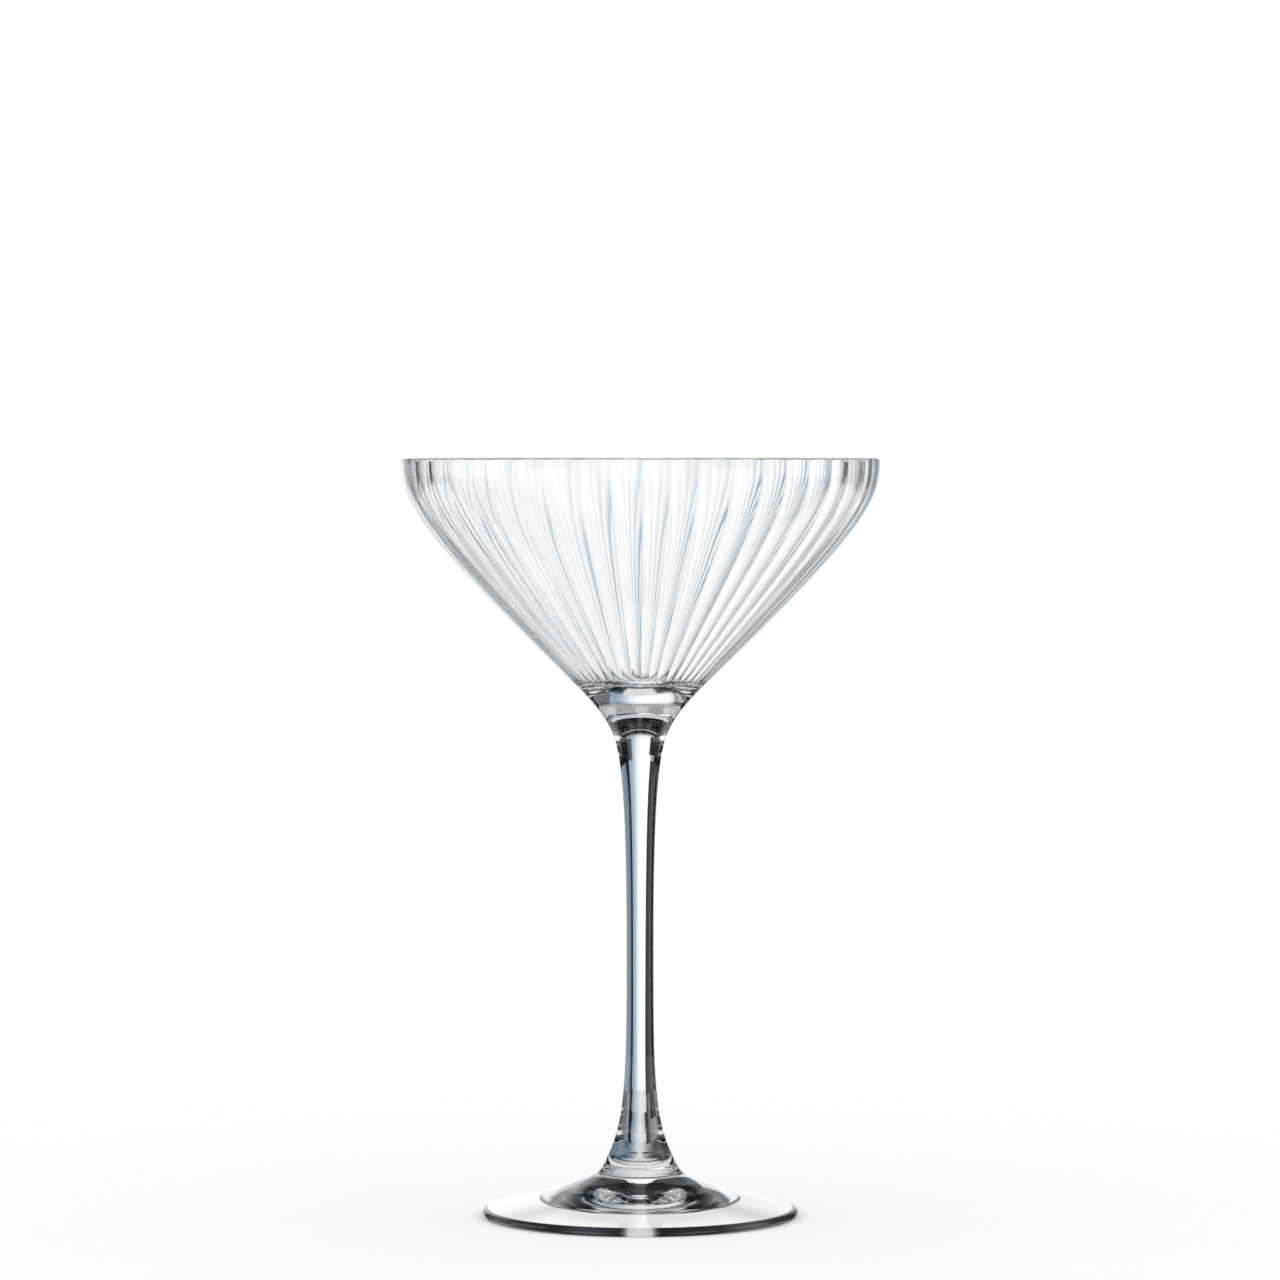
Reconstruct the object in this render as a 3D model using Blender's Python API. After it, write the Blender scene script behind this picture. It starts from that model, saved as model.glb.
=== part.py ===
"""Martini glass: a blown coupe bowl with optic ribs inside, a drawn solid stem and a pressed disc foot.

Metres, +Z up. The origin is the centre of the foot's resting ring, on the table. The three pieces are
fused while hot on the real glass, so each seam is a flat joint, shown here by a hairline gap.

Every piece is a profile turned about its own Z axis. A profile is a list of (radius, height) points. A lean
is the angle of a profile from straight up, positive where it opens outwards as it rises. A pull is how far
a curve holds the direction of its end, as a share of the distance between its two ends.
"""

import math

import bmesh
import bpy
from mathutils import Vector
from mathutils.geometry import interpolate_bezier

MM = 0.001

# Whole glass
HEIGHT = 171.6 * MM
SEAM_GAP = 0.3 * MM

# Bowl
RIM_DIAMETER = 108.2 * MM
BOWL_HEIGHT = 64.5 * MM
FLANK_HEIGHT = 50.0 * MM
FLANK_BASE_DIAMETER = 31.8 * MM
FLANK_BASE_LEAN = math.radians(46)
FLANK_BASE_PULL = 0.80
RIM_PULL = 0.14
NECK_SEAM_PULL = 0.31
NECK_FLANK_PULL = 0.335
RIM_WALL = 1.15 * MM
FLANK_BASE_WALL = 1.7 * MM
FLOOR_FILLET = 1.8 * MM
FLOOR_SLOPE = math.radians(8)
FLOOR_CROWN_DIAMETER = 5.0 * MM

# Optic ribs inside the bowl, with a shallow flute between each two
RIB_COUNT = 48
FLUTE_DEPTH = 0.3 * MM

# Seam of the bowl and the stem
BOWL_SEAM_DIAMETER = 10.9 * MM
BOWL_SEAM_LEAN = math.radians(13)

# Stem
WAIST_DIAMETER = 6.2 * MM
WAIST_HEIGHT = 46.0 * MM
STEM_TOP_PULL = 0.16
WAIST_UPPER_PULL = 0.58
WAIST_LOWER_PULL = 0.60
STEM_BASE_PULL = 0.20

# Seam of the stem and the foot
FOOT_SEAM_DIAMETER = 14.3 * MM
FOOT_SEAM_LEAN = math.radians(-25)

# Foot
FOOT_DIAMETER = 71.6 * MM
FOOT_SEAT_HEIGHT = 14.2 * MM
SHOULDER_DIAMETER = 20.0 * MM
SHOULDER_HEIGHT = 9.6 * MM
SHOULDER_LEAN = math.radians(-63.5)
EDGE_THICKNESS = 2.0 * MM
EDGE_LEAN = math.radians(-82.5)
FOOT_SEAM_PULL = 0.22
SHOULDER_UPPER_PULL = 0.21
SHOULDER_LOWER_PULL = 0.11
EDGE_PULL = 0.43
RECESS_DIAMETER = 43.0 * MM
RECESS_DEPTH = 2.65 * MM
RECESS_CROWN_DIAMETER = 9.0 * MM

# Fineness of the turned meshes: steps round the axis and segments along each stretch of a profile
STEPS_PER_RIB = 3
BOWL_NECK_SEGMENTS = 5
FLANK_SEGMENTS = 8
LIP_SEGMENTS = 4
FILLET_SEGMENTS = 3
FLOOR_SEGMENTS = 3
STEM_STEPS = 36
STEM_SEGMENTS = 9
FOOT_STEPS = 72
FOOT_NECK_SEGMENTS = 4
CONE_SEGMENTS = 6
EDGE_SEGMENTS = 4
DOME_SEGMENTS = 3
WELD = 0.001 * MM
SHARP_ANGLE = math.radians(35)

# Finish: clear soda-lime glass with a faint cool tint
GLASS_COLOUR = (0.90, 0.95, 0.97, 1.0)
GLASS_ROUGHNESS = 0.02
GLASS_IOR = 1.5


def direction(lean):
    """Unit step along a profile that rises at this lean."""
    return Vector((math.sin(lean), math.cos(lean)))


def curve(low, low_lean, low_pull, high, high_lean, high_pull, segments):
    """Points of a smooth rising profile between two ends, both included."""
    reach = (high - low).length
    low_handle = low + direction(low_lean) * reach * low_pull
    high_handle = high - direction(high_lean) * reach * high_pull
    return interpolate_bezier(low, low_handle, high_handle, high, segments + 1)


def arc(centre, radius, first, last, segments):
    """Points of a circular arc between two angles measured from straight outwards, both included."""
    angles = [first + (last - first) * step / segments for step in range(segments + 1)]
    return [centre + Vector((math.cos(angle), math.sin(angle))) * radius for angle in angles]


def fillet(start, corner, end, segments):
    """Points of a round that leaves start and meets end along the two sides of a corner, both included."""
    pull = 2 / 3
    return interpolate_bezier(start, start.lerp(corner, pull), end.lerp(corner, pull), end, segments + 1)


def joined(*stretches):
    """One profile from stretches that each start where the one before ends."""
    profile = list(stretches[0])
    for stretch in stretches[1:]:
        profile.extend(stretch[1:])
    return profile


def turned(profile, steps):
    """Closed mesh of a profile turned about Z, with a flat disc at each end.

    Every point remembers its station, which is its place in the profile.
    """
    mesh = bmesh.new()
    station = mesh.verts.layers.int.new("station")
    line = [mesh.verts.new((radius, 0, height)) for radius, height in profile]
    for index, vert in enumerate(line):
        vert[station] = index
    edges = [mesh.edges.new(pair) for pair in zip(line, line[1:])]
    bmesh.ops.spin(mesh, geom=line + edges, axis=(0, 0, 1), angle=math.tau, steps=steps)
    bmesh.ops.remove_doubles(mesh, verts=mesh.verts, dist=WELD)
    bmesh.ops.holes_fill(mesh, edges=[edge for edge in mesh.edges if edge.is_boundary], sides=0)
    bmesh.ops.recalc_face_normals(mesh, faces=mesh.faces)
    return mesh


def press_flutes(mesh, stations):
    """Hollows the wall outwards between the ribs, at these stations, and leaves the ribs' ridges in place."""
    station = mesh.verts.layers.int["station"]
    for vert in mesh.verts:
        if vert[station] in stations:
            angle = math.atan2(vert.co.y, vert.co.x)
            hollow = FLUTE_DEPTH * abs(math.sin(RIB_COUNT * angle / 2))
            vert.co += Vector((math.cos(angle), math.sin(angle), 0)) * hollow


def glass(name):
    """Clear glass for one piece."""
    material = bpy.data.materials.new(name)
    material.use_nodes = True
    shader = material.node_tree.nodes["Principled BSDF"]
    shader.inputs["Base Color"].default_value = GLASS_COLOUR
    shader.inputs["Metallic"].default_value = 0.0
    shader.inputs["Roughness"].default_value = GLASS_ROUGHNESS
    shader.inputs["IOR"].default_value = GLASS_IOR
    shader.inputs["Transmission Weight"].default_value = 1.0
    return material


def piece(name, mesh, height, parent):
    """Object for a turned mesh, standing at a height on the glass's axis."""
    data = bpy.data.meshes.new(name)
    mesh.to_mesh(data)
    mesh.free()
    data.materials.append(glass(name + "_glass"))
    data.shade_smooth()
    data.set_sharp_from_angle(angle=SHARP_ANGLE)
    placed = bpy.data.objects.new(name, data)
    placed.location.z = height
    placed.parent = parent
    bpy.context.scene.collection.objects.link(placed)
    return placed


def foot_mesh():
    """Disc foot: a short neck, a shallow cone, a round edge, and a resting ring round a domed recess."""
    seat = Vector((FOOT_SEAM_DIAMETER / 2, FOOT_SEAT_HEIGHT))
    shoulder = Vector((SHOULDER_DIAMETER / 2, SHOULDER_HEIGHT))
    edge_radius = EDGE_THICKNESS / 2
    edge_centre = Vector((FOOT_DIAMETER / 2 - edge_radius, edge_radius))
    edge = arc(edge_centre, edge_radius, -math.pi / 2, -EDGE_LEAN, EDGE_SEGMENTS)
    cone = curve(
        edge[-1], EDGE_LEAN, EDGE_PULL, shoulder, SHOULDER_LEAN, SHOULDER_LOWER_PULL, CONE_SEGMENTS
    )
    neck = curve(
        shoulder, SHOULDER_LEAN, SHOULDER_UPPER_PULL, seat, FOOT_SEAM_LEAN, FOOT_SEAM_PULL, FOOT_NECK_SEGMENTS
    )

    recess_radius = RECESS_DIAMETER / 2
    dome_radius = (recess_radius**2 + RECESS_DEPTH**2) / (2 * RECESS_DEPTH)
    dome_centre = Vector((0, RECESS_DEPTH - dome_radius))
    crown_angle = math.acos(RECESS_CROWN_DIAMETER / 2 / dome_radius)
    ring_angle = math.acos(recess_radius / dome_radius)
    dome = arc(dome_centre, dome_radius, crown_angle, ring_angle, DOME_SEGMENTS)
    return turned(joined(dome, [dome[-1], edge[0]], edge, cone, neck), FOOT_STEPS)


def stem_mesh(length):
    """Solid stem, drawn thin at the waist and flaring into the foot below and the bowl above."""
    base = Vector((FOOT_SEAM_DIAMETER / 2, 0))
    waist = Vector((WAIST_DIAMETER / 2, WAIST_HEIGHT))
    top = Vector((BOWL_SEAM_DIAMETER / 2, length))
    lower = curve(base, FOOT_SEAM_LEAN, STEM_BASE_PULL, waist, 0, WAIST_LOWER_PULL, STEM_SEGMENTS)
    upper = curve(waist, 0, WAIST_UPPER_PULL, top, BOWL_SEAM_LEAN, STEM_TOP_PULL, STEM_SEGMENTS)
    return turned(joined(lower, upper), STEM_STEPS)


def bowl_mesh():
    """Coupe bowl: smooth outside, optic ribs inside, a fire-polished rim and a thick, dished floor."""
    lip_radius = RIM_WALL / 2
    seat = Vector((BOWL_SEAM_DIAMETER / 2, 0))
    flank_base = Vector((FLANK_BASE_DIAMETER / 2, BOWL_HEIGHT - FLANK_HEIGHT))
    rim = Vector((RIM_DIAMETER / 2, BOWL_HEIGHT - lip_radius))
    neck = curve(
        seat, BOWL_SEAM_LEAN, NECK_SEAM_PULL, flank_base, FLANK_BASE_LEAN, NECK_FLANK_PULL, BOWL_NECK_SEGMENTS
    )
    flank = curve(flank_base, FLANK_BASE_LEAN, FLANK_BASE_PULL, rim, 0, RIM_PULL, FLANK_SEGMENTS)
    lip = arc(rim - Vector((lip_radius, 0)), lip_radius, 0, math.pi, LIP_SEGMENTS)

    inwards = direction(FLANK_BASE_LEAN - math.pi / 2)
    inner_base = flank_base + inwards * FLANK_BASE_WALL
    inner_flank = curve(
        inner_base, FLANK_BASE_LEAN, FLANK_BASE_PULL, lip[-1], 0, RIM_PULL, FLANK_SEGMENTS
    )[::-1]
    floor_corner = inner_base - direction(FLANK_BASE_LEAN) * FLOOR_FILLET
    floor_edge = floor_corner - direction(math.pi / 2 - FLOOR_SLOPE) * FLOOR_FILLET
    floor_fillet = fillet(inner_base, floor_corner, floor_edge, FILLET_SEGMENTS)
    floor_radius = floor_edge.x / math.sin(FLOOR_SLOPE)
    floor_centre = Vector((0, floor_edge.y + floor_radius * math.cos(FLOOR_SLOPE)))
    crown_angle = math.asin(FLOOR_CROWN_DIAMETER / 2 / floor_radius)
    floor = arc(
        floor_centre, floor_radius, FLOOR_SLOPE - math.pi / 2, crown_angle - math.pi / 2, FLOOR_SEGMENTS
    )

    outside = joined(neck, flank, lip)
    profile = joined(outside, inner_flank, floor_fillet, floor)
    mesh = turned(profile, RIB_COUNT * STEPS_PER_RIB)
    press_flutes(mesh, range(len(outside), len(outside) + len(inner_flank) - 1))
    return mesh


def build():
    """Stands the stem on the foot and the bowl on the stem."""
    for old in list(bpy.data.objects):
        bpy.data.objects.remove(old)
    whole = bpy.data.objects.new("martini_glass", None)
    bpy.context.scene.collection.objects.link(whole)
    stem_base = FOOT_SEAT_HEIGHT + SEAM_GAP
    bowl_base = HEIGHT - BOWL_HEIGHT
    piece("foot", foot_mesh(), 0, whole)
    piece("stem", stem_mesh(bowl_base - SEAM_GAP - stem_base), stem_base, whole)
    piece("bowl", bowl_mesh(), bowl_base, whole)


build()
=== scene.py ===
"""Looks of the martini glass: finely turned glass pieces, a bright-field studio and the camera."""

import math

import bpy
import numpy as np
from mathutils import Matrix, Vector
from mathutils.geometry import interpolate_bezier


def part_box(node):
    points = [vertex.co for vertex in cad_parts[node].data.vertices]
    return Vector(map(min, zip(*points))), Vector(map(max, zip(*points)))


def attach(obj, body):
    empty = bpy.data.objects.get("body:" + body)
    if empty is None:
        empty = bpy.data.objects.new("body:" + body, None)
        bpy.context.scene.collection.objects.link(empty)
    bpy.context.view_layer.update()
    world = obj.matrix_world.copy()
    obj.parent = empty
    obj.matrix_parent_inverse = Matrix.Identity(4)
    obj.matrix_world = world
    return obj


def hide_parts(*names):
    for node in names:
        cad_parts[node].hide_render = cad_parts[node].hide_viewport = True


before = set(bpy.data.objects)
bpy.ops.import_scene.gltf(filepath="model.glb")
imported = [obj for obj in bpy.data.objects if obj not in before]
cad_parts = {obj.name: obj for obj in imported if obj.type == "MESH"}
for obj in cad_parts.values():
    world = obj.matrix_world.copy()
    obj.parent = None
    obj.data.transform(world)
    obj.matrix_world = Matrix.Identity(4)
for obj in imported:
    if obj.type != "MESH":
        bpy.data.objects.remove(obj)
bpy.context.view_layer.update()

MM = 0.001

# Sizes that the fixed frame gives
BOWL_LOW, BOWL_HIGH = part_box("bowl")
FOOT_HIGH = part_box("foot")[1]
RIM_RADIUS = BOWL_HIGH.x
RIM_HEIGHT = BOWL_HIGH.z
FOOT_RADIUS = FOOT_HIGH.x

# The frame leaves a hairline gap at each seam, and the finished glass closes it
BOWL_SEAM_HEIGHT = BOWL_LOW.z
FOOT_SEAM_HEIGHT = FOOT_HIGH.z

# Bowl
FLANK_HEIGHT = 50.0 * MM
FLANK_BASE_RADIUS = 15.9 * MM
FLANK_BASE_LEAN = math.radians(46)
RIM_WALL = 1.15 * MM
FLANK_BASE_WALL = 1.7 * MM
FLOOR_FILLET = 1.8 * MM
FLOOR_SLOPE = math.radians(8)
BOWL_SEAM_RADIUS = 5.45 * MM
BOWL_SEAM_LEAN = math.radians(13)

# Optic ribs inside the bowl
RIB_COUNT = 48
FLUTE_DEPTH = 0.48 * MM
RIM_FLUTE_SHARE = 0.5
DEEPENING = 20.0 * MM
FLUTE_TAPER = 0.5
RIB_WANDER = 0.16
FLUTE_UNEVENNESS = 0.35
RIB_SEED = 48

# Stem
WAIST_RADIUS = 3.1 * MM
WAIST_HEIGHT = 60.5 * MM

# Foot
FOOT_SEAM_RADIUS = 7.15 * MM
FOOT_SEAM_LEAN = math.radians(-25)
SHOULDER_RADIUS = 10.0 * MM
SHOULDER_HEIGHT = 9.6 * MM
SHOULDER_LEAN = math.radians(-63.5)
EDGE_THICKNESS = 2.0 * MM
EDGE_LEAN = math.radians(-82.5)
NECK_RINGS = 3
RINGED_SHARE = 0.62
RING_DEPTH = 0.03 * MM
RECESS_RADIUS = 21.5 * MM
RECESS_DEPTH = 2.65 * MM

# How far each curve follows its lower and its upper lean, as shares of its reach
BOWL_NECK_PULLS = (0.31, 0.335)
FLANK_PULLS = (0.80, 0.14)
LOWER_STEM_PULLS = (0.20, 0.60)
UPPER_STEM_PULLS = (0.58, 0.16)
CONE_PULLS = (0.43, 0.11)
FOOT_NECK_PULLS = (0.21, 0.22)
FILLET_PULL = 2 / 3

# Fineness: segments along each stretch of a profile, then steps round the axis
BOWL_NECK_SEGMENTS = 18
FLANK_SEGMENTS = 28
INNER_FLANK_SEGMENTS = 40
LIP_SEGMENTS = 8
FLOOR_SEGMENTS = 8
STEM_SEGMENTS = 36
EDGE_SEGMENTS = 16
CONE_SEGMENTS = 32
FOOT_NECK_SEGMENTS = 64
DOME_SEGMENTS = 20
BOWL_STEPS = RIB_COUNT * 16
STEM_STEPS = 240
STAGE_STEPS = 96
WELD = 0.0005 * MM
SMOOTHING = math.radians(40)
# Room for rounding where the inner wall is told from the outer one and where one flute is told from the next
INNER_WALL_ROOM = RIM_WALL * 0.45
FLUTE_ROOM = 1e-6

# Glass: its tints, from the bluest to the clearest, how closely they change, and the waves of its face
GLASS_IOR = 1.5
TINTS = [(0.35, (0.979, 0.990, 0.998)), (0.65, (0.989, 0.996, 1.0))]
TINT_SCALE = 45
TINT_DETAIL = 2
WAVE_SCALE = 150
WAVE_DETAIL = 1
WAVE_STRETCH = (1, 1, 0.3)
WAVE_HEIGHT = 0.02 * MM

# Camera
PHOTO_SIDE = 1280
HORIZON_ROW = 458.0
PIXELS_PER_METRE = 4429.6
CAMERA_DISTANCE = 1.25
SENSOR = 36.0

# Floor, and the radii between which it fades into the backdrop
FLOOR_RADIUS = 0.30
FLOOR_FADE = (FLOOR_RADIUS * 0.4, FLOOR_RADIUS * 0.98)

# Cards on the floor, which lie in rings round a point just behind the axis
FLOOR_CARDS_RADIUS = 0.14
FLOOR_CARDS_DROP = 0.5 * MM
RING_MIDDLE = (0, 5 * MM, 0)
RING_SOFTNESS = 1 * MM

# Cards close to the foot, which paint light and shade on it: just inside the bottom of its resting ring, inside
# its edge, over its back and over its shoulder
CONTACT_RISE = 0.02 * MM
CONTACT_INNER_RADIUS = RECESS_RADIUS + 0.1 * MM
CONTACT_OUTER_RADIUS = 34.4 * MM
EDGE_CARD_REACH = 34.5 * MM
EDGE_CARD_TOP = EDGE_THICKNESS * 0.9
CREST_INNER_RADIUS = 15 * MM
CREST_OUTER_RADIUS = 33 * MM
CREST_RISE = 0.25 * MM
BROW_INNER_RADIUS = 7.6 * MM
BROW_OUTER_RADIUS = 15 * MM

# Card over the back of the bowl's mouth
MOUTH_CARD_COLOUR = (0.62, 0.66, 0.70)
MOUTH_CARD_HEIGHT = 200 * MM
MOUTH_CARD_WIDTH = 130 * MM
MOUTH_CARD_FRONT = 34 * MM
MOUTH_CARD_BACK = 105 * MM

# Light is bent on its way into a piece of glass and again on its way out
BENDS_IN_ONE_PIECE = 2
LIGHT_BOUNCES = 48


# Shapes


def direction(lean):
    """Unit step along a profile that rises at this lean from straight up."""
    return Vector((math.sin(lean), math.cos(lean)))


def curve(low, low_lean, high, high_lean, pulls, segments):
    """Points of a smooth rising profile between two ends, both included."""
    reach = (high - low).length
    low_handle = low + direction(low_lean) * reach * pulls[0]
    high_handle = high - direction(high_lean) * reach * pulls[1]
    return interpolate_bezier(low, low_handle, high_handle, high, segments + 1)


def arc(centre, radius, first, last, segments):
    """Points of a circular arc between two angles from straight outwards, both included."""
    angles = [first + (last - first) * step / segments for step in range(segments + 1)]
    return [centre + Vector((math.cos(angle), math.sin(angle))) * radius for angle in angles]


def fillet(start, corner, end, segments):
    """Points of a round that leaves start and meets end along the two sides of a corner."""
    start_handle = start.lerp(corner, FILLET_PULL)
    end_handle = end.lerp(corner, FILLET_PULL)
    return interpolate_bezier(start, start_handle, end_handle, end, segments + 1)


def joined(*stretches):
    """One profile from stretches that each start where the one before ends."""
    profile = list(stretches[0])
    for stretch in stretches[1:]:
        profile.extend(stretch[1:])
    return profile


def draw_line(places):
    """A new object with one line, drawn out point by point, left in edit mode."""
    bpy.ops.object.select_all(action="DESELECT")
    bpy.ops.mesh.primitive_plane_add(size=MM, location=(0, 0, 0))
    drawn = bpy.context.object
    bpy.ops.object.mode_set(mode="EDIT")
    bpy.ops.mesh.select_all(action="SELECT")
    bpy.ops.mesh.merge(type="CENTER")
    bpy.ops.transform.translate(value=places[0])
    for here, there in zip(places, places[1:]):
        bpy.ops.mesh.extrude_region_move(TRANSFORM_OT_translate={"value": there - here})
    return drawn


def turned(name, profile, steps):
    """A piece turned from its profile, which is swept once round the axis."""
    piece = draw_line([Vector((point.x, 0, point.y)) for point in profile])
    piece.name = name
    bpy.ops.object.mode_set(mode="OBJECT")
    sweep = piece.modifiers.new("sweep", "SCREW")
    sweep.angle = math.tau
    sweep.steps = sweep.render_steps = steps
    sweep.use_merge_vertices = True
    sweep.merge_threshold = WELD
    bpy.ops.object.modifier_apply(modifier="sweep")
    return piece


def close_seams(piece):
    """Closes the piece's open ends with flat discs and turns every face outwards."""
    bpy.ops.object.mode_set(mode="EDIT")
    bpy.ops.mesh.select_all(action="SELECT")
    bpy.ops.mesh.remove_doubles(threshold=WELD)
    bpy.ops.mesh.fill_holes(sides=0)
    bpy.ops.mesh.select_all(action="SELECT")
    bpy.ops.mesh.normals_make_consistent(inside=False)
    bpy.ops.object.mode_set(mode="OBJECT")
    bpy.ops.object.shade_smooth_by_angle(angle=SMOOTHING)


# Pieces


def make_bowl():
    lip_radius = RIM_WALL / 2
    seat = Vector((BOWL_SEAM_RADIUS, BOWL_SEAM_HEIGHT))
    flank_base = Vector((FLANK_BASE_RADIUS, RIM_HEIGHT - FLANK_HEIGHT))
    rim = Vector((RIM_RADIUS, RIM_HEIGHT - lip_radius))
    neck = curve(seat, BOWL_SEAM_LEAN, flank_base, FLANK_BASE_LEAN, BOWL_NECK_PULLS, BOWL_NECK_SEGMENTS)
    flank = curve(flank_base, FLANK_BASE_LEAN, rim, 0, FLANK_PULLS, FLANK_SEGMENTS)
    lip = arc(rim - Vector((lip_radius, 0)), lip_radius, 0, math.pi, LIP_SEGMENTS)
    inwards = direction(FLANK_BASE_LEAN - math.pi / 2)
    inner_base = flank_base + inwards * FLANK_BASE_WALL
    inner_flank = curve(inner_base, FLANK_BASE_LEAN, lip[-1], 0, FLANK_PULLS, INNER_FLANK_SEGMENTS)[::-1]
    corner = inner_base - direction(FLANK_BASE_LEAN) * FLOOR_FILLET
    floor_edge = corner - direction(math.pi / 2 - FLOOR_SLOPE) * FLOOR_FILLET
    floor_fillet = fillet(inner_base, corner, floor_edge, FLOOR_SEGMENTS)
    dish_radius = floor_edge.x / math.sin(FLOOR_SLOPE)
    dish_centre = Vector((0, floor_edge.y + dish_radius * math.cos(FLOOR_SLOPE)))
    floor = arc(dish_centre, dish_radius, FLOOR_SLOPE - math.pi / 2, -math.pi / 2, FLOOR_SEGMENTS)
    floor[-1].x = 0
    outside = joined(neck, flank, lip)
    piece = turned("glass_bowl", joined(outside, inner_flank, floor_fillet, floor), BOWL_STEPS)
    close_seams(piece)
    press_flutes(piece, inner_flank, floor_edge.y)
    return piece


def ease(share):
    share = np.clip(share, 0, 1)
    return share**2 * (3 - 2 * share)


def press_flutes(piece, inner_flank, floor_height):
    """Presses the flutes outwards into the inner wall, between ribs that keep the wall's own radius."""
    lip_height, base_height = inner_flank[0].y, inner_flank[-1].y
    heights = np.array([point.y for point in inner_flank[::-1]])
    radii = np.array([point.x for point in inner_flank[::-1]])
    places = np.empty(len(piece.data.vertices) * 3)
    piece.data.vertices.foreach_get("co", places)
    places = places.reshape(-1, 3)
    radius = np.hypot(places[:, 0], places[:, 1])
    height = places[:, 2]
    inside = (height > floor_height) & (radius > BOWL_SEAM_RADIUS)
    inside &= radius < np.interp(height, heights, radii) + INNER_WALL_ROOM

    # Ribs that wander a little and flutes that differ a little in depth
    turn = np.arctan2(places[:, 1], places[:, 0]) / math.tau * RIB_COUNT
    flute = np.floor(turn + FLUTE_ROOM).astype(int)
    rng = np.random.default_rng(RIB_SEED)
    ridges = np.arange(-RIB_COUNT // 2, RIB_COUNT // 2 + 1)
    wander = rng.uniform(-RIB_WANDER, RIB_WANDER, RIB_COUNT)
    share = 1 + rng.uniform(-FLUTE_UNEVENNESS, FLUTE_UNEVENNESS, RIB_COUNT)
    angle = (turn + np.interp(turn, ridges, wander[ridges % RIB_COUNT])) / RIB_COUNT * math.tau

    # Flutes that fade out at the rim and the floor, deepen below the rim and get shallower towards the axis
    fade = ease((RIM_HEIGHT - height) / (RIM_HEIGHT - lip_height))
    fade *= ease((height - floor_height) / (base_height - floor_height))
    fade *= RIM_FLUTE_SHARE + (1 - RIM_FLUTE_SHARE) * ease((lip_height - height) / DEEPENING)
    depth = FLUTE_DEPTH * (radius / RIM_RADIUS) ** FLUTE_TAPER * fade
    depth *= share[flute % RIB_COUNT] * np.abs(np.sin(math.pi * turn))
    radius += np.where(inside, depth, 0)
    places[:, 0] = radius * np.cos(angle)
    places[:, 1] = radius * np.sin(angle)
    piece.data.vertices.foreach_set("co", places.ravel())
    piece.data.update()


def make_stem():
    base = Vector((FOOT_SEAM_RADIUS, FOOT_SEAM_HEIGHT))
    waist = Vector((WAIST_RADIUS, WAIST_HEIGHT))
    top = Vector((BOWL_SEAM_RADIUS, BOWL_SEAM_HEIGHT))
    lower = curve(base, FOOT_SEAM_LEAN, waist, 0, LOWER_STEM_PULLS, STEM_SEGMENTS)
    upper = curve(waist, 0, top, BOWL_SEAM_LEAN, UPPER_STEM_PULLS, STEM_SEGMENTS)
    piece = turned("glass_stem", joined(lower, upper), STEM_STEPS)
    close_seams(piece)
    return piece


def foot_edge():
    edge_radius = EDGE_THICKNESS / 2
    edge_centre = Vector((FOOT_RADIUS - edge_radius, edge_radius))
    return arc(edge_centre, edge_radius, -math.pi / 2, -EDGE_LEAN, EDGE_SEGMENTS)


def foot_cone():
    shoulder = Vector((SHOULDER_RADIUS, SHOULDER_HEIGHT))
    return curve(foot_edge()[-1], EDGE_LEAN, shoulder, SHOULDER_LEAN, CONE_PULLS, CONE_SEGMENTS)


def foot_neck():
    """The short neck from the shoulder up to the seam, with the faint rings that turning the hot glass leaves."""
    seat = Vector((FOOT_SEAM_RADIUS, FOOT_SEAM_HEIGHT))
    shoulder = Vector((SHOULDER_RADIUS, SHOULDER_HEIGHT))
    neck = curve(shoulder, SHOULDER_LEAN, seat, FOOT_SEAM_LEAN, FOOT_NECK_PULLS, FOOT_NECK_SEGMENTS)
    for step, point in enumerate(neck):
        share = min(step / FOOT_NECK_SEGMENTS / RINGED_SHARE, 1)
        point.x += RING_DEPTH * math.sin(math.pi * share) * math.sin(math.tau * NECK_RINGS * share)
    return neck


def make_foot():
    edge = foot_edge()
    dome_radius = (RECESS_RADIUS**2 + RECESS_DEPTH**2) / (2 * RECESS_DEPTH)
    dome_centre = Vector((0, RECESS_DEPTH - dome_radius))
    ring_angle = math.acos(RECESS_RADIUS / dome_radius)
    dome = arc(dome_centre, dome_radius, math.pi / 2, ring_angle, DOME_SEGMENTS)
    dome[0].x = 0
    resting_ring = [dome[-1], edge[0]]
    piece = turned("glass_foot", joined(dome, resting_ring, edge, foot_cone(), foot_neck()), STEM_STEPS)
    close_seams(piece)
    return piece


# Nodes


def feed(tree, socket, value):
    """Gives a socket another node's output or a plain value."""
    if isinstance(value, bpy.types.NodeSocket):
        tree.links.new(value, socket)
    else:
        socket.default_value = value


def joined_nodes(tree, kind, *inputs, **settings):
    """A new node with these settings, fed by sockets or plain values in order."""
    node = tree.nodes.new(kind)
    for key, value in settings.items():
        setattr(node, key, value)
    for socket, value in zip(node.inputs, inputs):
        feed(tree, socket, value)
    return node


def math_node(tree, operation, *inputs):
    return joined_nodes(tree, "ShaderNodeMath", *inputs, operation=operation).outputs[0]


def eased(tree, value, start, end, first, last):
    """A smooth change from first to last while value goes from start to end."""
    node = tree.nodes.new("ShaderNodeMapRange")
    node.interpolation_type = "SMOOTHSTEP"
    tree.links.new(value, node.inputs["Value"])
    node.inputs["From Min"].default_value = start
    node.inputs["From Max"].default_value = end
    node.inputs["To Min"].default_value = first
    node.inputs["To Max"].default_value = last
    return node.outputs["Result"]


def blended(tree, factor, low, high, blend="MIX"):
    """One colour laid over another by a factor."""
    node = tree.nodes.new("ShaderNodeMix")
    node.data_type = "RGBA"
    node.blend_type = blend
    for name, value in (("Factor", factor), ("A", low), ("B", high)):
        socket = next(s for s in node.inputs if s.name == name and s.enabled)
        feed(tree, socket, value)
    return next(s for s in node.outputs if s.enabled)


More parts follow.
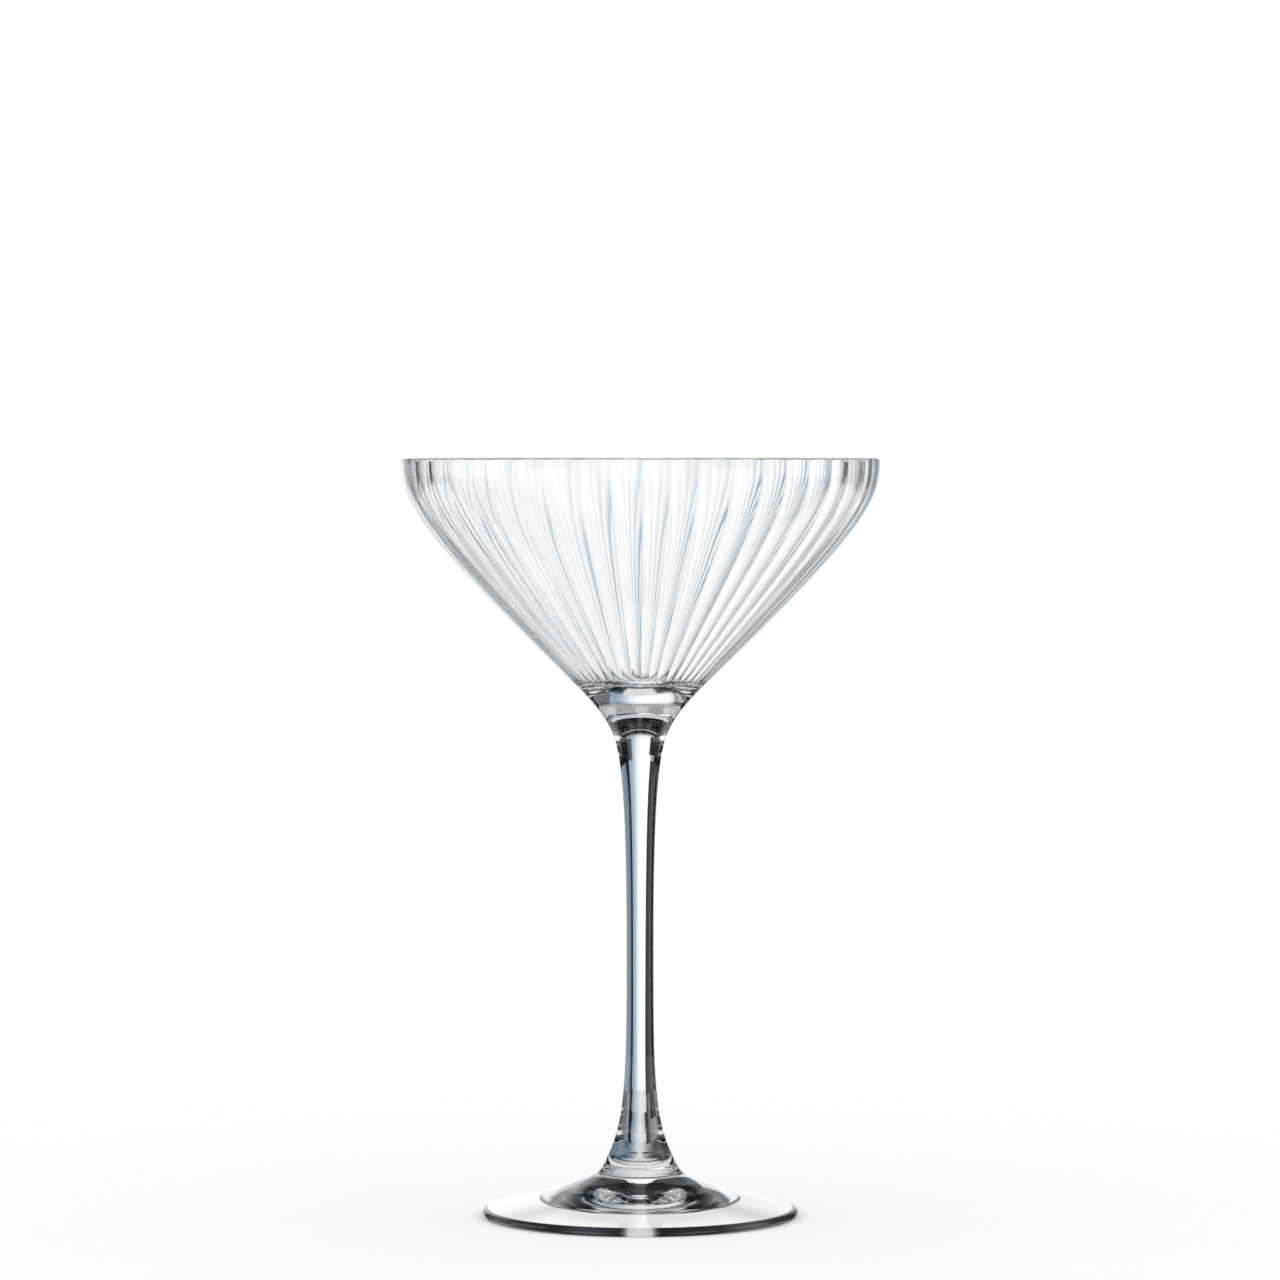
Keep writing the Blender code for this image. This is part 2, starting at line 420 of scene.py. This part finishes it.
def ramp_node(tree, stops):
    """A colour ramp from (share, colour) stops."""
    ramp = tree.nodes.new("ShaderNodeValToRGB")
    elements = ramp.color_ramp.elements
    while len(elements) > 1:
        elements.remove(elements[-1])
    elements[0].position = stops[0][0]
    elements[0].color = (*stops[0][1], 1)
    for share, colour in stops[1:]:
        elements.new(share).color = (*colour, 1)
    return ramp


def degrees_ramp(tree, value, stops):
    """Colours along an angle, from stops in degrees."""
    first, last = stops[0][0], stops[-1][0]
    spread = tree.nodes.new("ShaderNodeMapRange")
    tree.links.new(value, spread.inputs["Value"])
    spread.inputs["From Min"].default_value = math.radians(first)
    spread.inputs["From Max"].default_value = math.radians(last)
    ramp = ramp_node(tree, [((angle - first) / (last - first), colour) for angle, colour in stops])
    tree.links.new(spread.outputs["Result"], ramp.inputs[0])
    return ramp.outputs["Color"]


def noise(tree, place, scale, detail):
    node = tree.nodes.new("ShaderNodeTexNoise")
    tree.links.new(place, node.inputs["Vector"])
    node.inputs["Scale"].default_value = scale
    node.inputs["Detail"].default_value = detail
    return node.outputs[0]


# Finishes of the glass


def glass_finish(name):
    """Clear glass, with a faint uneven tint and the slight waves that a fire-polished face keeps."""
    material = bpy.data.materials.new(name)
    material.use_nodes = True
    tree = material.node_tree
    shader = tree.nodes["Principled BSDF"]
    shader.inputs["Roughness"].default_value = 0.0
    shader.inputs["IOR"].default_value = GLASS_IOR
    shader.inputs["Transmission Weight"].default_value = 1.0
    place = tree.nodes.new("ShaderNodeTexCoord").outputs["Object"]
    tint = ramp_node(tree, TINTS)
    tree.links.new(noise(tree, place, TINT_SCALE, TINT_DETAIL), tint.inputs[0])
    tree.links.new(tint.outputs["Color"], shader.inputs["Base Color"])
    drawn = joined_nodes(tree, "ShaderNodeVectorMath", place, WAVE_STRETCH, operation="MULTIPLY")
    waves = tree.nodes.new("ShaderNodeBump")
    waves.inputs["Strength"].default_value = 1.0
    waves.inputs["Distance"].default_value = WAVE_HEIGHT
    tree.links.new(noise(tree, drawn.outputs[0], WAVE_SCALE, WAVE_DETAIL), waves.inputs["Height"])
    tree.links.new(waves.outputs["Normal"], shader.inputs["Normal"])
    return material


def seam_finish(name):
    """Nothing to see, for the flat ends where two pieces are fused."""
    material = bpy.data.materials.new(name)
    material.use_nodes = True
    shader = material.node_tree.nodes["Principled BSDF"]
    shader.inputs["Alpha"].default_value = 0.0
    return material


def assign(piece, finish, seam):
    """The glass finish all over, and the seam's on the flat ends, the only faces with more than four corners."""
    piece.data.materials.clear()
    piece.data.materials.append(finish)
    piece.data.materials.append(seam)
    for face in piece.data.polygons:
        flat_end = len(face.vertices) > 4
        face.material_index = 1 if flat_end else 0


# Light of the studio. Degrees round the glass count from straight behind it, and to the right of that they are
# positive.


def grey(value):
    return (value, value, value)


def mirrored(stops):
    """The same light on the other side of the glass."""
    return [(-angle, colour) for angle, colour in stops[::-1]]


def all_round(behind, sides, front):
    """The stops behind the glass, with one grey for both sides and one for the front."""
    right = [(66, grey(sides)), (128, grey(sides)), (132, grey(front)), (180, grey(front))]
    return [*mirrored(right), *behind, *right]


WHITE = grey(1)
BLUE_GREY = (0.21, 0.26, 0.31)

# Back panel: light across it, by degrees round the glass, and up it, by degrees above the horizon
BACK_ACROSS = [
    (-31, (0.004, 0.006, 0.008)),
    (-28, (0.03, 0.04, 0.05)),
    (-24, grey(0.80)),
    (-20, grey(1.08)),
    (-10, grey(1.18)),
    (-3, grey(1.14)),
    (0, grey(1.08)),
    (4, (0.95, 1.0, 1.03)),
    (8, (0.72, 0.82, 0.90)),
    (12, (0.46, 0.57, 0.66)),
    (17, (0.32, 0.43, 0.52)),
    (22, (0.32, 0.43, 0.52)),
    (26, (0.04, 0.05, 0.06)),
    (31, (0.004, 0.006, 0.008)),
]
BACK_UP = [
    (-90, (0.04, 0.05, 0.06)),
    (-21, (0.05, 0.06, 0.07)),
    (-18, (0.16, 0.19, 0.21)),
    (-14, grey(0.90)),
    (-9, grey(0.95)),
    (0, grey(1.0)),
    (5, grey(1.0)),
    (10, grey(0.97)),
    (20, grey(0.89)),
    (30, grey(0.80)),
    (42, grey(0.62)),
    (46, grey(0.10)),
    (50, (0.045, 0.055, 0.07)),
    (90, (0.04, 0.05, 0.06)),
]

# Other panels: colour, middle and half width round the glass, bottom and top above the horizon, in degrees
PANELS = [
    ((0.70, 0.74, 0.76), 0, 12, -32, -13),
    (grey(0.9), -90, 17, -12, 45),
    (grey(0.9), 90, 17, -12, 45),
    (grey(0.9), 180, 15, -90, 45),
    (grey(1.0), 135, 15, -60, -5),
    (grey(1.0), -135, 15, -60, -5),
    (grey(1.0), 50, 20, -60, -14),
    (grey(1.0), -50, 20, -60, -14),
]
PANEL_SOFTNESS = math.radians(2)

# Where the light that the glass mirrors fades out, from and to, and what is left of it above
GLOSS_TOP = (math.radians(24), math.radians(34))
GLOSS_DARK = grey(0.01)
# What the floor sees through the glass
LIGHT_ON_FLOOR = grey(0.8)

# Cards that stand close to the foot: name, distance from the axis, bottom and top in millimetres, slant in degrees
# for each millimetre up, and light by degrees round the glass
FOOT_CARDS = [
    ("right_hub_card", 12.5, 8.7, 10.2, 0, [(14.5, grey(0.01)), (27, grey(0.01)), (34, grey(0.12))]),
    (
        "left_hub_card", 12.5, 8.7, 10.2, 0,
        [(-34, grey(0.30)), (-27, grey(0.20)), (-25, grey(0.01)), (-16, grey(0.01))],
    ),
    (
        "right_calf_card", 12.5, 10.2, 25.3, 0.61,
        [
            (4.6, grey(0.01)),
            (6.9, grey(0.01)),
            (8.4, BLUE_GREY),
            (12, BLUE_GREY),
            (16, grey(0.10)),
            (21, grey(0.15)),
            (29, grey(0.20)),
            (80, grey(0.12)),
        ],
    ),
    (
        "left_calf_card", 12.5, 18, 25.3, -0.37,
        [
            (-80, grey(0.20)),
            (-30, grey(0.28)),
            (-27, grey(0.01)),
            (-12.5, grey(0.01)),
            (-11.2, grey(0.22)),
            (-9.5, grey(0.20)),
            (-7.3, grey(0.05)),
            (-5.8, grey(0.05)),
        ],
    ),
    (
        "left_ankle_card", 12.5, 10.2, 18, -0.37,
        [
            (-80, grey(0.05)),
            (-30, grey(0.15)),
            (-20, grey(0.30)),
            (-7.5, grey(0.24)),
            (-5, grey(0.08)),
            (-3, grey(0.03)),
        ],
    ),
]
# Cards that stand further off, behind the stem and the bowl's neck, in the same form
STEM_CARDS = [
    (
        "right_stem_card", 41, 18, 108, 0.02,
        [
            (18.5, grey(0.01)),
            (24, grey(0.01)),
            (27.5, (0.14, 0.19, 0.24)),
            (36, (0.20, 0.27, 0.34)),
            (46, (0.27, 0.36, 0.45)),
            (62, (0.36, 0.46, 0.56)),
        ],
    ),
    (
        "left_stem_card", 41, 18, 108, -0.064,
        [(-40, (0.03, 0.036, 0.04)), (-17.7, (0.045, 0.055, 0.06)), (-11.7, grey(0.03))],
    ),
    ("left_shin_card", 41, 17, 23, 0, [(-64, grey(0.03)), (-40, grey(0.03))]),
    (
        "right_throat_card", 25, 108, 119.5, 0,
        [(17.5, grey(0.01)), (40, (0.02, 0.03, 0.04)), (62, (0.05, 0.065, 0.08))],
    ),
    ("left_throat_card", 25, 108, 119.5, 0, [(-40, grey(0.04)), (-12, grey(0.02))]),
    (
        "right_neck_card", 41, 108, 124.5, 0,
        [(11.5, (0.08, 0.10, 0.12)), (18, (0.06, 0.08, 0.09)), (20, grey(0.02)), (24, grey(0.02))],
    ),
    (
        "left_neck_card", 41, 108, 124.5, 0,
        [(-30, grey(0.02)), (-26, grey(0.02)), (-24, grey(0.40)), (-16.5, grey(0.45))],
    ),
]

# Dark cards laid just over the back of the foot and over its shoulder, which stop light that rises from the glass:
# painted shade on the foot's back and shoulder
CREST_PAINTED_SHADE = [(-22, grey(0.01)), (22, grey(0.01))]
BROW_PAINTED_SHADE = [(9, grey(0.01)), (60, grey(0.01))]
# Light of a sheet inside the glass of the foot's edge, which is dark but for the front and the back: painted shade
# round the edge, with painted light at the front and the back
EDGE_PAINTED_SHADE_AND_LIGHT = [
    (-180, grey(0.70)),
    (-176, grey(0.62)),
    (-174, grey(0.02)),
    (-160, (0.05, 0.06, 0.07)),
    (-149, (0.02, 0.025, 0.03)),
    (-130, (0.03, 0.035, 0.04)),
    (-115, (0.10, 0.12, 0.13)),
    (-100, grey(0.03)),
    (-80, grey(0.12)),
    (-70, grey(0.75)),
    (70, grey(0.75)),
    (80, grey(0.10)),
    (92, grey(0.03)),
    (120, (0.03, 0.035, 0.04)),
    (135, (0.08, 0.09, 0.10)),
    (150, (0.03, 0.035, 0.04)),
    (174, grey(0.015)),
    (176, grey(0.60)),
    (180, grey(0.70)),
]
# Light of a sheet just inside the glass of the right half of the resting ring: painted light that makes most of
# the ring glow, and painted shade where it is dark
CONTACT_PAINTED_LIGHT_AND_SHADE = [
    (28, grey(0.06)),
    (48, grey(0.10)),
    (58, grey(0.88)),
    (104, grey(0.90)),
    (121, grey(0.62)),
    (138, grey(0.90)),
    (180, grey(0.90)),
]

# Light on the floor: under the middle of the foot, where most of it is dark as a painted shadow of the foot's hub,
# then behind the glass, near it and further off
HUB_SHADOW_AND_LIGHT = [
    (-180, grey(0.04)),
    (-100, grey(0.05)),
    (-60, grey(0.08)),
    (-40, grey(0.14)),
    (-25, grey(0.10)),
    (-12, grey(0.02)),
    (-6, grey(0.30)),
    (-2, grey(0.76)),
    (2, grey(0.76)),
    (7, (0.30, 0.36, 0.40)),
    (14, grey(0.02)),
    (20, (0.13, 0.18, 0.23)),
    (50, (0.18, 0.24, 0.30)),
    (130, (0.17, 0.22, 0.27)),
    (180, grey(0.04)),
]
NEAR_LIGHT = [
    (-62, grey(0.12)),
    (-45, grey(0.20)),
    (-30, grey(0.30)),
    (-22, grey(0.30)),
    (-17, grey(0.04)),
    (-13, grey(0.01)),
    (-10, grey(0.03)),
    (-7, grey(0.60)),
    (-2, grey(0.78)),
    (2, (0.72, 0.75, 0.77)),
    (6, (0.46, 0.55, 0.62)),
    (11, (0.28, 0.37, 0.45)),
    (14, (0.20, 0.28, 0.35)),
    (16, grey(0.01)),
    (20, grey(0.01)),
    (23, (0.18, 0.25, 0.32)),
    (30, (0.26, 0.34, 0.42)),
    (62, (0.22, 0.28, 0.34)),
]
FAR_LIGHT = [
    (-62, grey(0.70)),
    (-42, grey(0.70)),
    (-36, grey(0.05)),
    (-30, grey(0.05)),
    (-26, grey(0.01)),
    (-23, grey(0.05)),
    (-20, grey(0.62)),
    (-8, grey(0.80)),
    (0, (0.77, 0.79, 0.80)),
    (6, (0.58, 0.65, 0.70)),
    (14, (0.34, 0.43, 0.50)),
    (17, (0.26, 0.34, 0.41)),
    (18.5, grey(0.01)),
    (23, grey(0.01)),
    (28, (0.14, 0.19, 0.24)),
    (62, (0.28, 0.36, 0.44)),
]
# Radius at which each ring of the floor cards starts, and its light
FLOOR_RINGS = [
    # Under the foot: a painted shadow of the foot's hub
    (0, HUB_SHADOW_AND_LIGHT),
    (18 * MM, all_round(NEAR_LIGHT, 0.92, 0.92)),
    (36 * MM, all_round(NEAR_LIGHT, 0.50, 0.70)),
    (75 * MM, all_round(FAR_LIGHT, 0.50, 0.70)),
]


# Studio


def make_camera():
    focal_pixels = PIXELS_PER_METRE * CAMERA_DISTANCE
    data = bpy.data.cameras.new("camera")
    data.sensor_width = SENSOR
    data.lens = focal_pixels / PHOTO_SIDE * SENSOR
    camera = bpy.data.objects.new("camera", data)
    tilt = math.atan((PHOTO_SIDE / 2 - HORIZON_ROW) / focal_pixels)
    camera.location = (0, -CAMERA_DISTANCE, RIM_HEIGHT)
    camera.rotation_euler = (math.pi / 2 - tilt, 0, 0)
    bpy.context.scene.collection.objects.link(camera)
    bpy.context.scene.camera = camera


def add_disc(radius, height):
    bpy.ops.object.select_all(action="DESELECT")
    bpy.ops.mesh.primitive_circle_add(
        vertices=STAGE_STEPS, radius=radius, fill_type="NGON", location=(0, 0, height)
    )
    return bpy.context.object


def matt_finish(name, colour):
    """A finish without any gloss."""
    material = bpy.data.materials.new(name)
    material.use_nodes = True
    shader = material.node_tree.nodes["Principled BSDF"]
    shader.inputs["Base Color"].default_value = (*colour, 1)
    shader.inputs["Roughness"].default_value = 1.0
    shader.inputs["Specular IOR Level"].default_value = 0.0
    return material


def make_floor():
    """The white floor that the camera sees, with the shadow of the glass."""
    floor = add_disc(FLOOR_RADIUS, 0)
    floor.name = "floor"
    floor.visible_transmission = floor.visible_glossy = False
    material = matt_finish("white_floor", WHITE)
    tree = material.node_tree
    place = tree.nodes.new("ShaderNodeTexCoord").outputs["Object"]
    reach = joined_nodes(tree, "ShaderNodeVectorMath", place, operation="LENGTH").outputs["Value"]
    alpha = tree.nodes["Principled BSDF"].inputs["Alpha"]
    tree.links.new(eased(tree, reach, *FLOOR_FADE, 1, 0), alpha)
    floor.data.materials.append(material)


def card_finish(name):
    """A finish that shines evenly, with the colour of its light still to be set."""
    material = matt_finish(name, grey(0))
    material.node_tree.nodes["Principled BSDF"].inputs["Emission Strength"].default_value = 1.0
    return material


def round_finish(name, rings, slant=0.0, bottom=0.0):
    """A card's finish, with light by degrees round the glass in rings that each start at a radius.

    The light may slant round the glass, by degrees for each millimetre over the card's bottom.
    """
    material = card_finish(name)
    tree = material.node_tree
    place = tree.nodes.new("ShaderNodeTexCoord").outputs["Object"]
    split = joined_nodes(tree, "ShaderNodeSeparateXYZ", place)
    off = joined_nodes(tree, "ShaderNodeVectorMath", place, RING_MIDDLE, operation="DISTANCE")
    reach = off.outputs["Value"]
    turn = math_node(tree, "ARCTAN2", split.outputs["X"], split.outputs["Y"])
    rise = math_node(tree, "SUBTRACT", split.outputs["Z"], bottom)
    turn = math_node(tree, "SUBTRACT", turn, math_node(tree, "MULTIPLY", rise, math.radians(slant) / MM))
    light = degrees_ramp(tree, turn, rings[0][1])
    for start, stops in rings[1:]:
        outside = eased(tree, reach, start - RING_SOFTNESS, start + RING_SOFTNESS, 0, 1)
        light = blended(tree, outside, light, degrees_ramp(tree, turn, stops))
    tree.links.new(light, tree.nodes["Principled BSDF"].inputs["Emission Color"])
    return material


def place_card(card, name, material):
    """Leaves a card to what the glass bends towards the camera: nothing else sees it and it casts no shadow."""
    card.name = name
    card.visible_camera = card.visible_diffuse = card.visible_glossy = card.visible_shadow = False
    card.data.materials.append(material)


def sweep_card(name, profile, stops, slant=0.0):
    """A card swept round the axis from its radii and heights, from the first to the last of its stops."""
    first, last = math.radians(stops[0][0]), math.radians(stops[-1][0])
    bottom = profile[0][1]
    places = []
    for reach, height in profile:
        lean = math.radians(slant) * (height - bottom) / MM
        places.append(Vector((reach * math.sin(lean), reach * math.cos(lean), height)))
    card = draw_line(places)
    bpy.ops.mesh.select_all(action="SELECT")
    bpy.ops.transform.rotate(value=first, orient_axis="Z", center_override=(0, 0, 0))
    bpy.ops.object.mode_set(mode="OBJECT")
    sweep = card.modifiers.new("sweep", "SCREW")
    sweep.angle = first - last
    sweep.steps = sweep.render_steps = STAGE_STEPS
    bpy.ops.object.modifier_apply(modifier="sweep")
    place_card(card, name, round_finish(name + "_light", [(0, stops)], slant, bottom))
    return card


def standing_card(name, reach, low, high, slant, stops):
    """An upright card, from its distance, bottom and top in millimetres."""
    return sweep_card(name, [(reach * MM, low * MM), (reach * MM, high * MM)], stops, slant)


def show_one_side(card):
    """Lets light that comes from above pass through a card, so that only light from the glass below ends there."""
    tree = card.data.materials[0].node_tree
    side = tree.nodes.new("ShaderNodeNewGeometry")
    tree.links.new(side.outputs["Backfacing"], tree.nodes["Principled BSDF"].inputs["Alpha"])


def hide_from_bowl(card):
    """Lets light that has crossed two walls of glass pass through a card, so that the bowl doesn't show it."""
    tree = card.data.materials[0].node_tree
    bends = tree.nodes.new("ShaderNodeLightPath").outputs["Transmission Depth"]
    one_piece = math_node(tree, "LESS_THAN", bends, BENDS_IN_ONE_PIECE + 0.5)
    tree.links.new(one_piece, tree.nodes["Principled BSDF"].inputs["Alpha"])


def make_mouth_card():
    bpy.ops.object.select_all(action="DESELECT")
    bpy.ops.mesh.primitive_plane_add(size=1, location=(0, 0, 0))
    card = bpy.context.object
    middle = (MOUTH_CARD_BACK + MOUTH_CARD_FRONT) / 2
    bpy.ops.object.mode_set(mode="EDIT")
    bpy.ops.mesh.select_all(action="SELECT")
    bpy.ops.transform.resize(value=(MOUTH_CARD_WIDTH, MOUTH_CARD_BACK - MOUTH_CARD_FRONT, 1))
    bpy.ops.transform.translate(value=(0, middle, MOUTH_CARD_HEIGHT))
    bpy.ops.object.mode_set(mode="OBJECT")
    material = card_finish("mouth_light")
    light = material.node_tree.nodes["Principled BSDF"].inputs["Emission Color"]
    light.default_value = (*MOUTH_CARD_COLOUR, 1)
    place_card(card, "mouth_card", material)


def make_cards():
    """Cards on the floor round the glass, over its mouth, behind its stem and close to its foot."""
    floor_cards = add_disc(FLOOR_CARDS_RADIUS, -FLOOR_CARDS_DROP)
    place_card(floor_cards, "floor_cards", round_finish("floor_light", FLOOR_RINGS))
    make_mouth_card()
    for card in STEM_CARDS:
        hide_from_bowl(standing_card(*card))
    for card in FOOT_CARDS:
        standing_card(*card)

    # Dark sheets just over the foot, seen only from the glass under them: painted shade on its back and shoulder
    over = [(point.x + CREST_RISE / 2, point.y + CREST_RISE) for point in joined(foot_cone(), foot_neck())]
    crest = [place for place in over if CREST_INNER_RADIUS < place[0] < CREST_OUTER_RADIUS]
    brow = [place for place in over if BROW_INNER_RADIUS < place[0] < BROW_OUTER_RADIUS]
    show_one_side(sweep_card("crest_shade_card", crest, CREST_PAINTED_SHADE))
    show_one_side(sweep_card("right_brow_shade_card", brow, BROW_PAINTED_SHADE))
    show_one_side(sweep_card("left_brow_shade_card", brow, mirrored(BROW_PAINTED_SHADE)))

    # A sheet inside the glass of the foot's edge: painted shade round it, with painted light at the front and the
    # back
    edge = [(EDGE_CARD_REACH, CONTACT_RISE), (EDGE_CARD_REACH, EDGE_CARD_TOP)]
    contact = [(CONTACT_INNER_RADIUS, CONTACT_RISE), (CONTACT_OUTER_RADIUS, CONTACT_RISE)]
    sweep_card("edge_card", edge, EDGE_PAINTED_SHADE_AND_LIGHT)
    # A sheet inside the resting ring: painted light on the ring, with painted shade at its dark stops
    sweep_card("right_contact_card", contact, CONTACT_PAINTED_LIGHT_AND_SHADE)
    sweep_card("left_contact_card", contact, mirrored(CONTACT_PAINTED_LIGHT_AND_SHADE))


def make_world():
    """White for the camera and the floor, and a bright back panel among dark ones for the glass."""
    world = bpy.data.worlds.new("studio")
    bpy.context.scene.world = world
    world.use_nodes = True
    tree = world.node_tree
    towards = tree.nodes.new("ShaderNodeTexCoord").outputs["Generated"]
    split = joined_nodes(tree, "ShaderNodeSeparateXYZ", towards)
    turn = math_node(tree, "ARCTAN2", split.outputs["X"], split.outputs["Y"])
    rise = math_node(tree, "ARCSINE", split.outputs["Z"])
    across = degrees_ramp(tree, turn, BACK_ACROSS)
    up = degrees_ramp(tree, rise, BACK_UP)
    light = blended(tree, 1.0, across, up, "MULTIPLY")
    soft = PANEL_SOFTNESS
    for colour, middle, half_width, bottom, top in PANELS:
        off = math_node(tree, "SUBTRACT", turn, math.radians(middle))
        off = math_node(tree, "WRAP", off, math.pi, -math.pi)
        off = math_node(tree, "ABSOLUTE", off)
        half, low, high = math.radians(half_width), math.radians(bottom), math.radians(top)
        cover = eased(tree, off, half - soft, half + soft, 1, 0)
        cover = math_node(tree, "MULTIPLY", cover, eased(tree, rise, low - soft, low + soft, 0, 1))
        cover = math_node(tree, "MULTIPLY", cover, eased(tree, rise, high - soft, high + soft, 1, 0))
        light = blended(tree, cover, light, (*colour, 1))

    path = tree.nodes.new("ShaderNodeLightPath")
    gloss = path.outputs["Is Glossy Ray"]
    through_glass = math_node(tree, "MAXIMUM", gloss, path.outputs["Is Transmission Ray"])
    gloss_above = math_node(tree, "MULTIPLY", gloss, eased(tree, rise, *GLOSS_TOP, 0, 1))
    light = blended(tree, gloss_above, light, (*GLOSS_DARK, 1))
    light = blended(tree, through_glass, (*WHITE, 1), light)
    after_floor = math_node(tree, "GREATER_THAN", path.outputs["Diffuse Depth"], 0.5)
    from_floor = math_node(tree, "MULTIPLY", through_glass, after_floor)
    light = blended(tree, from_floor, light, (*LIGHT_ON_FLOOR, 1))
    tree.links.new(light, tree.nodes["Background"].inputs["Color"])


make_camera()
clear = glass_finish("clear_glass")
seam = seam_finish("fused_seam")
for node, make in (("bowl", make_bowl), ("stem", make_stem), ("foot", make_foot)):
    made = make()
    assign(made, clear, seam)
    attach(made, "root")
    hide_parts(node)
make_floor()
make_cards()
make_world()

scene = bpy.context.scene
scene.view_settings.view_transform = "Standard"
scene.cycles.max_bounces = LIGHT_BOUNCES
scene.cycles.transmission_bounces = LIGHT_BOUNCES
scene.cycles.glossy_bounces = LIGHT_BOUNCES
scene.cycles.transparent_max_bounces = LIGHT_BOUNCES
